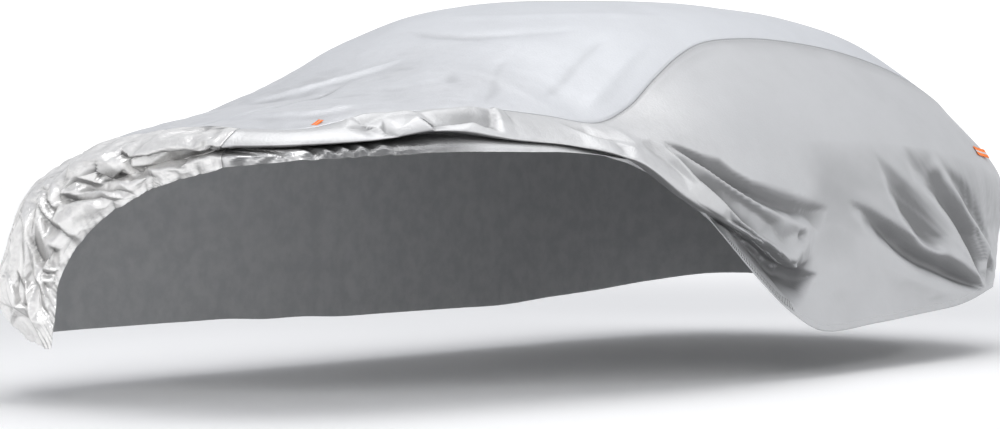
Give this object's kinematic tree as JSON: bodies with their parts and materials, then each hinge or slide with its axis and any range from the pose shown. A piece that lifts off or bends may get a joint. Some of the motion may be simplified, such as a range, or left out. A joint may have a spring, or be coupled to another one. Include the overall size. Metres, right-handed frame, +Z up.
{
  "type": "car cover",
  "caption": "Fitted car cover of silver cloth, drawn over a low car, its front edge pulled up at a corner and bunched.",
  "frame": {"origin": "the underside of the roof cloth, above the middle of the car it covers, at the point the cover hangs from", "axes": "+X towards the tail, +Y towards the far side, whose hem is down all along, +Z up; the edge pulled up at the front is at -Y"},
  "size_m": [4.4664, 1.928, 1.2669],
  "materials": {
    "silver_cloth": "satin silver coating on light cloth",
    "foil_cloth": "glossy crinkled foil coating on light cloth",
    "grey_cloth": "flat satin grey coating on light cloth",
    "ribbed_tape": "ribbed woven zip tape",
    "orange_tag": "plain orange reflective tape"
  },
  "bodies": {
    "root": {"top_panel": "silver_cloth", "front_panel": "foil_cloth", "near_side_panel": "grey_cloth", "far_side_panel": "grey_cloth", "edge_tape": "ribbed_tape", "rear_tag": "orange_tag", "front_tag": "orange_tag"}
  },
  "joints": []
}
